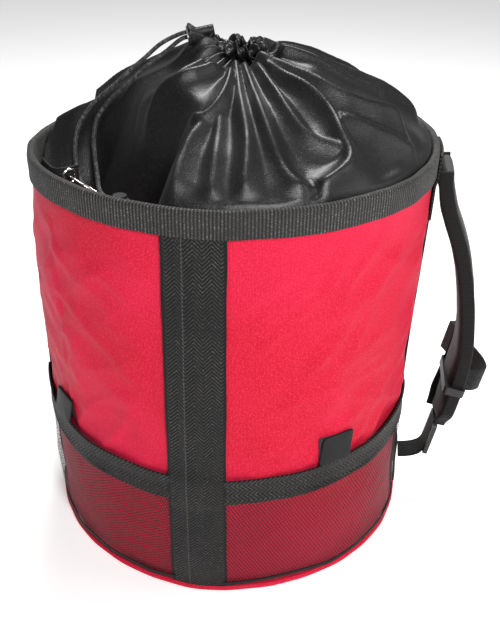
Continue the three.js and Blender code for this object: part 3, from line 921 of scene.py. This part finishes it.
def make_collar():
    floor = RIM - SEAM_DROP
    radii = COLLAR_RADIUS * (1 - np.linspace(0.004, 0.913, 76))
    angles = full_turn(420)
    a, r = np.meshgrid(angles, radii)
    x, y = r * sind(a), -r * cosd(a)
    centre = (1 - smooth(r / 120))
    x = x + MOUTH[0] * centre
    y = y + MOUTH[1] * centre
    base, hollow = collar_base(r, x, y)
    push = np.zeros_like(r)
    for height, width, stops in FOLDS + back_folds():
        line = np.array([(p[1] * math.sin(math.radians(p[0])), -p[1] * math.cos(math.radians(p[0])))
                         for p in stops])
        fine = spline(line, 24)
        away, along = line_distance(x, y, fine)
        spread = width * (0.35 + 0.70 * r / COLLAR_RADIUS)
        round_off = 2.6
        ends = smooth(along / 0.08) * smooth((1 - along) / 0.06)
        crest = np.exp(-(np.sqrt(away**2 + round_off**2) - round_off) / spread)
        push = np.maximum(push, FOLD_SCALE * height * crest * ends)
    gathers = sind(a * 24 + 20 * sind(a * 3))
    push += 3.4 * gathers * np.exp(-(r - 15) / 20)
    flow = field(x / 46, y / 46, base * 0 + 1.0, 2.2) * 6.0 + field(x / 20, y / 20, base * 0, 6.1) * 1.2
    push += flow * smooth((r - 22) / 45) * smooth((COLLAR_RADIUS - r) / 14)
    push = (push - 3.5) * smooth((COLLAR_RADIUS - r) / 9)
    outline = cord_points[::6, :2]
    near, _ = line_distance(x, y, outline)
    push = np.where(push > 0, push * smooth((near - 4) / 12), push)
    z = base + push
    # The cloth climbs to the eyelet where the cord comes out.
    peak = np.exp(-(((x + 15) ** 2 + (y + 20) ** 2) / (2 * 12.0**2)))
    z = z + 22 * peak
    z = z - (z - floor - 1.5) * hollow
    # Its edge hangs down inside the wall to the seam.
    pressed = COLLAR_RADIUS + dent(angles, RIM)
    ring_x = pressed * sind(angles)
    ring_y = -pressed * cosd(angles)
    _, low = collar_base(np.full_like(angles, COLLAR_RADIUS), ring_x, ring_y)
    drop_rows = []
    for height in (floor, RIM - 32, RIM - 22, RIM - 14, RIM - 8):
        level = height - (height - floor) * low * 0.93
        drop_rows.append(np.stack([ring_x, ring_y, level + 0.02 * (height - floor)], -1))
    squash = 1 + dent(a, RIM) / COLLAR_RADIUS * (r / COLLAR_RADIUS)**4
    rows = np.concatenate([np.array(drop_rows), np.stack([x * squash, y * squash, z], -1)])
    collar = cloth_layer("gathered_collar", rows, True, 0.3, 0.3, looks["black"], slot="black_cloth",
                         replaces=["collar"], sharp=80)
    # The hem is a casing bunched up on the cord.
    count = 260
    t = full_turn(count, 2 * math.pi)
    lobes = 0.5 + 0.5 * np.sin(13 * t + 1.4 * np.sin(2 * t))
    major = 14.5 + 3.6 * lobes
    height = RIM + COLLAR_RISE - 5.0 + 2.2 * np.sin(13 * t + 1.0) + 1.8 * np.sin(5 * t)
    centres = np.stack([MOUTH[0] + major * np.cos(t), MOUTH[1] + major * np.sin(t), height], -1)
    out = np.stack([np.cos(t), np.sin(t), np.zeros(count)], -1) * (0.75 + 0.35 * lobes)[:, None]
    up = np.tile(UP, (count, 1)) * (1.15 - 0.3 * lobes)[:, None]
    hem = tube("gathered_hem", centres, out, up, looks["black"], closed=True,
               section=oval(4.0, 4.8, 16), slot="black_cloth", replaces=["collar_hem"])
    return collar


OUTLET = np.array([-20.0, -29.0, RIM + 83])
OUTLET_WAY = Vector((-0.53, -0.82, -0.2)).normalized()


def outlet_frame():
    turn = OUTLET_WAY.to_track_quat("Z", "Y").to_matrix().to_4x4()
    return BAG @ Matrix.Translation(Vector(OUTLET * MM)) @ turn


def eyelet_profile(bore, outside, grip):
    face = grip / 2
    half = []
    for k in range(9):
        a = math.pi * k / 8
        mid = (bore + outside) / 2
        half.append((mid - (outside - bore) / 2 * math.cos(a), face + 1.5 * math.sin(a)))
    return half + [(outside - 0.4, face - 0.2), (bore + 1, face - 0.3), (bore + 1, -face + 0.3),
                   (outside - 0.4, -face + 0.2)] + [(r, -z) for r, z in half[::-1]]


def make_outlet():
    place = outlet_frame()
    # A doubled square of cloth with drawn-in edges, carried back into the hem.
    rows = []
    for back, width, height, shift in ((1.3, 14, 13, 0), (1.4, 17, 16, 0), (0.2, 19, 17, 0),
                                       (-1.6, 18, 16, -0.5), (-5, 14, 13, -2), (-9, 11, 10, -4),
                                       (-14, 9, 8, -7)):
        loop = np.array(rounded(width, height, min(width, height) * 0.36, 5))
        pinch = 1 + 0.05 * np.sin(np.arctan2(loop[:, 1], loop[:, 0]) * 7 + back)
        rows.append(np.stack([loop[:, 0] * pinch, loop[:, 1] * pinch + shift,
                              np.full(len(loop), back)], -1))
    rows = np.array(rows)
    count, cols = rows.shape[:2]
    inner = np.array([(4.6 * math.cos(a), 4.6 * math.sin(a), 0) for a in
                      full_turn(cols, 2 * math.pi)])
    start = np.arctan2(rows[0, 0, 1], rows[0, 0, 0])
    order = np.argmin(np.abs(np.angle(np.exp(1j * (np.arctan2(inner[:, 1], inner[:, 0]) - start)))))
    inner = np.roll(inner, -order, axis=0)
    stack = np.concatenate([[inner + [0, 0, -20], inner + [0, 0, 1.2]], rows])
    make("outlet_cloth", stack, ring_quads(count + 2, cols), looks["black"], place=place,
         slot="black_cloth", replaces=["outlet_patch"])
    turned("outlet_eyelet", eyelet_profile(4.3, 7.6, 3.0), place, looks["metal"], slot="metal",
           replaces=["cord_grommet"])


# Gear ring inside the rim


def make_gear():
    place = facing(-1)
    middle = RIM - 8
    path = spline([(149.2, 0, 0), (155, 0, 0), (162, -0.2, 0), (166.4, -1.6, 0), (168.4, -5.5, 0),
                   (168.2, -12, 0), (167.3, -20, 0), (165.6, -30, 0)], 34)
    way = directions(path)
    side = np.stack([way[:, 1], -way[:, 0], way[:, 2]], -1)
    up = np.tile(UP, (len(path), 1))
    centres = path + np.array([0, 0, middle])
    # The strip is left whole under its eyelet.
    tube("gear_loop", centres, side, up, looks["narrow"], section=rounded(2.0, 15.0, 0.9, 3),
         place=place, slot="webbing", replaces=["gear_tab"])
    hole = (place @ Matrix.Translation((158 * MM, 0, middle * MM))
            @ Matrix.Rotation(math.radians(90), 4, "X"))
    turned("gear_eyelet_face", eyelet_profile(4.2, 6.6, 2.6), hole, looks["metal"],
           slot="metal", replaces=["gear_eyelet"])
    count = 96
    t = full_turn(count, 2 * math.pi)
    ring = np.stack([np.zeros(count), 16 * np.cos(t), 16 * np.sin(t)], -1)
    ring += np.array([0, 7, -math.sqrt(16**2 - 49)])
    tilt = math.radians(50)
    turn = turn_about_y(tilt)
    outward = np.stack([np.zeros(count), np.cos(t), np.sin(t)], -1) @ turn.T
    normal = np.tile(np.array([1.0, 0, 0]) @ turn.T, (count, 1))
    ring = ring @ turn.T + np.array([158, 0, middle])
    tube("split_ring", ring, outward, normal, looks["metal"], closed=True,
         section=oval(1.05, 1.05, 12), place=place, body="gear_ring_body", slot="metal",
         replaces=["gear_ring"])


# Shoulder straps

PAD_ROUTE = [(186, 358), (187.5, 342), (194.5, 317), (208.5, 281), (218.5, 239), (223, 205),
             (224, 182), (222, 161), (218, 139), (212.5, 114), (207, 94)]
CHEST = (218.2, 140.0)
CHEST_TILT = math.radians(11.5)
CHEST_ROUTE = [(12.2, 0, 0), (23, 3, 0), (31, 12, 0), (30, 27, 0), (24, 42, 0), (17, 55, 0)]


def pad_frames(count, twist_end=9.0):
    route = spline([(r, 0, z) for r, z in PAD_ROUTE], count)
    way = directions(route)
    share = np.linspace(0, 1, count)
    twist = np.radians(twist_end * smooth((share - 0.45) / 0.55))
    out = np.stack([-way[:, 2], np.zeros(count), way[:, 0]], -1)
    out *= np.sign(out[:, 0])[:, None]
    side = np.tile(SIDEWAYS, (count, 1))
    c, s = np.cos(twist)[:, None], np.sin(twist)[:, None]
    return route, side * c - out * s, out * c + side * s


def pad_narrow(share):
    """The pad's width narrows to its lower end, where the webbing comes out."""
    return 1 - 0.34 * smooth((share - 0.90) / 0.10)


def pad_section(width, thick, steps=28):
    loop = []
    for k in range(steps):
        t = 2 * math.pi * k / steps
        c, s = math.cos(t), math.sin(t)
        loop.append((width / 2 * math.copysign(abs(c) ** 0.45, c),
                     thick / 2 * math.copysign(abs(s) ** 0.8, s)))
    return loop


def inflate(piece, cap):
    """Swells a closed cushion under a little pressure and keeps each point near its start."""
    remesh = piece.modifiers.new("remesh", "REMESH")
    remesh.mode = "VOXEL"
    remesh.voxel_size = 0.0044
    bake_modifiers(piece)
    start = np.array([v.co[:] for v in piece.data.vertices])
    cloth = piece.modifiers.new("cloth", "CLOTH")
    for setting, value in (("quality", 6), ("mass", 0.25), ("tension_stiffness", 22),
                           ("compression_stiffness", 22), ("bending_stiffness", 1.2),
                           ("use_pressure", True), ("uniform_pressure_force", 4.0)):
        setattr(cloth.settings, setting, value)
    cloth.settings.effector_weights.gravity = 0
    cloth.point_cache.frame_start = 1
    cloth.point_cache.frame_end = 20
    for step in range(1, 21):
        bpy.context.scene.frame_set(step)
        bpy.context.view_layer.update()
    swollen = piece.evaluated_get(bpy.context.evaluated_depsgraph_get()).to_mesh()
    moved = np.array([v.co[:] for v in swollen.vertices]) - start
    piece.modifiers.remove(cloth)
    bpy.context.scene.frame_set(1)
    reach = np.linalg.norm(moved, axis=1, keepdims=True)
    moved *= np.minimum(1, cap / np.maximum(reach, 1e-9))
    piece.data.vertices.foreach_set("co", (start + moved).ravel())
    piece.data.update()


def bake_modifiers(piece):
    evaluated = piece.evaluated_get(bpy.context.evaluated_depsgraph_get())
    piece.data = bpy.data.meshes.new_from_object(evaluated)
    piece.modifiers.clear()
    piece.data.shade_smooth()


def pad_body():
    """The right-hand pad's mesh, swollen, in its facing() frame in metres."""
    route, side, out = pad_frames(78)
    share = np.linspace(0, 1, len(route))
    taper = np.minimum(smooth((share + 0.02) / 0.05), smooth((1.02 - share) / 0.06)) * 0.25 + 0.75
    channels = 1 - 0.10 * np.exp(-(((share * 7) % 1 - 0.5) / 0.09) ** 2)
    section = np.array(pad_section(48, 11.5))
    wide = side[:, None, :] * section[None, :, 0:1] * pad_narrow(share)[:, None, None]
    thick = out[:, None, :] * section[None, :, 1:2] * (taper * channels)[:, None, None]
    rings = route[:, None, :] + wide + thick
    mesh = bpy.data.meshes.new("pad_start")
    mesh.from_pydata((rings.reshape(-1, 3) * MM).tolist(), [], capped_quads(*rings.shape[:2]))
    piece = linked("pad_start", mesh)
    inflate(piece, 0.0024)
    subdivide = piece.modifiers.new("round", "SUBSURF")
    subdivide.levels = 1
    bake_modifiers(piece)
    body = piece.data
    bpy.data.objects.remove(piece)
    return body


def mirrored(mesh):
    twin = mesh.copy()
    twin.transform(Matrix.Diagonal((1, -1, 1, 1)))
    twin.flip_normals()
    return twin


def make_shoulder_straps():
    right_pad = pad_body()
    for side_name, angle, way in SHOULDERS:
        place = facing(angle)
        flip = np.array([1.0, way, 1.0])
        body = right_pad if way > 0 else mirrored(right_pad)
        body.materials.clear()
        body.materials.append(looks["pad"])
        pad = linked(f"pad_{side_name}", body)
        pad.matrix_world = place
        bpy.context.view_layer.update()
        finish_piece(pad, "bag", [f"shoulder_pad_{side_name}"])

        route, side, out = pad_frames(80)
        for edge, label in ((-1, "near"), (1, "far")):
            reach = 24.8 * pad_narrow(np.linspace(0, 1, len(route)))[:, None]
            centres = (route + side * edge * reach) * flip
            tape = rounded(3.4, 12.4, 1.6, 3)
            tube(f"pad_tape_{side_name}_{label}", centres, side * flip, out * flip, looks["narrow"],
                 section=tape, place=place, slot="webbing")

        # Upper anchor: webbing from under the rim edge down over the pad's top, box stitched
        t, z = np.meshgrid(np.linspace(-8.2, 8.2, 14), np.linspace(RIM - 62, RIM - 3, 20))
        over_rim = smooth((z - 342) / 12)
        on_band = RIM_RADIUS + 4.2 - (RIM - z) * TAPER
        radius = (wall(angle + t, z) + 2.0) * (1 - over_rim) + over_rim * on_band
        cloth_layer(f"anchor_{side_name}", local_polar(t, radius, z), False, 0.9, 0.9,
                    looks["anchor"], place=place, slot="webbing",
                    replaces=[f"shoulder_anchor_{side_name}"])
        # Lower webbing from the ladder lock to the foot of the bag
        run = spline([(206.5, 0, 92), (203.5, 0, 78), (200.5, 0, 64), (196.0, 0, 54), (189.5, 0, 49.4),
                      (181.5, 0, 47), (174.0, 0, 46)], 36)
        direction = directions(run)
        outward = np.stack([-direction[:, 2], np.zeros(len(run)), direction[:, 0]], -1)
        across = np.tile(SIDEWAYS, (len(run), 1))
        # Chest webbing stands on edge: out of the slider and round to the buckle
        chest = (place @ Matrix.Translation((CHEST[0] * MM, 0, CHEST[1] * MM))
                 @ Matrix.Rotation(CHEST_TILT, 4, "Y"))
        band = spline(CHEST_ROUTE, 34)
        along = directions(band)
        over = np.stack([along[:, 1], -along[:, 0], along[:, 2]], -1)
        upright = np.tile(UP, (len(band), 1))
        tube(f"chest_web_{side_name}", band * flip, upright, over * flip, looks["onedge"],
             section=NARROW_TAPE, place=chest, body=f"chest_strap_{side_name}",
             slot="webbing", replaces=[f"chest_webbing_{side_name}"])
        tube(f"lower_web_{side_name}", run * flip, across, outward, looks["narrow"],
             section=NARROW_TAPE, place=place, slot="webbing",
             replaces=[f"lower_webbing_{side_name}"])
        t, z = np.meshgrid(np.linspace(-7.6, 7.6, 12), np.linspace(22, 62, 16))
        radius = wall(angle + t, z) + 3.6
        cloth_layer(f"foot_{side_name}", local_polar(t, radius, z), False, 0.9, 0.9, looks["foot"],
                    place=place, slot="webbing", replaces=[f"lower_anchor_{side_name}"])


def dress_frame():
    """The hard pieces keep their CAD shape and get their finish."""
    hard = {
        "plastic": ("cord_lock_body", "cord_lock_button", "ladder_lock_right", "ladder_lock_left",
                    "chest_slider_right", "chest_slider_left", "chest_buckle_socket",
                    "chest_buckle_prongs"),
        "metal": ("cord_lock_spring", "drain_grommet"),
    }
    for look, nodes in hard.items():
        for node in nodes:
            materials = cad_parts[node].data.materials
            materials.clear()
            materials.append(looks[look])


# Floor and light


def make_stage():
    size = 6.0
    mesh = bpy.data.meshes.new("floor")
    mesh.from_pydata([(-size, -size, 0), (size, -size, 0), (size, size, 0), (-size, size, 0)], [],
                     [(0, 1, 2, 3)])
    g = Graph("floor_paper", roughness=0.9, emission_strength=0.36)
    g.set("emission_color", (1.0, 1.0, 1.0))
    g.set("base_color", g.blend(g.noise(2, 2), grey(0.90), grey(0.93)))
    mesh.materials.append(g.material)
    floor = linked("floor", mesh)
    world = bpy.context.scene.world or bpy.data.worlds.new("studio")
    bpy.context.scene.world = world
    world.use_nodes = True
    backdrop = world.node_tree.nodes["Background"]
    backdrop.inputs["Color"].default_value = (1, 1, 1, 1)
    backdrop.inputs["Strength"].default_value = 0.22
    for name, azimuth, height, distance, width, power in (
        ("key", 72, 34, 1.9, 0.4, 26),
        ("top", 230, 64, 1.8, 0.7, 34),
        ("side", 130, 30, 1.9, 0.7, 6),
    ):
        lamp = bpy.data.lights.new(name, "AREA")
        lamp.shape = "SQUARE"
        lamp.size = width
        lamp.energy = power
        light = linked(name, lamp)
        a, e = math.radians(azimuth), math.radians(height)
        spot = Vector((math.sin(a) * math.cos(e), -math.cos(a) * math.cos(e), math.sin(e))) * distance
        light.location = spot + Vector((0, 0, 0.25))
        light.rotation_euler = (-spot).to_track_quat("-Z", "Y").to_euler()
    bpy.context.scene.view_settings.view_transform = "Standard"


make_body()
make_inside()
make_rim_band()
make_straps()
make_pockets()
make_collar()
make_outlet()
make_gear()
make_shoulder_straps()
dress_frame()
make_stage()
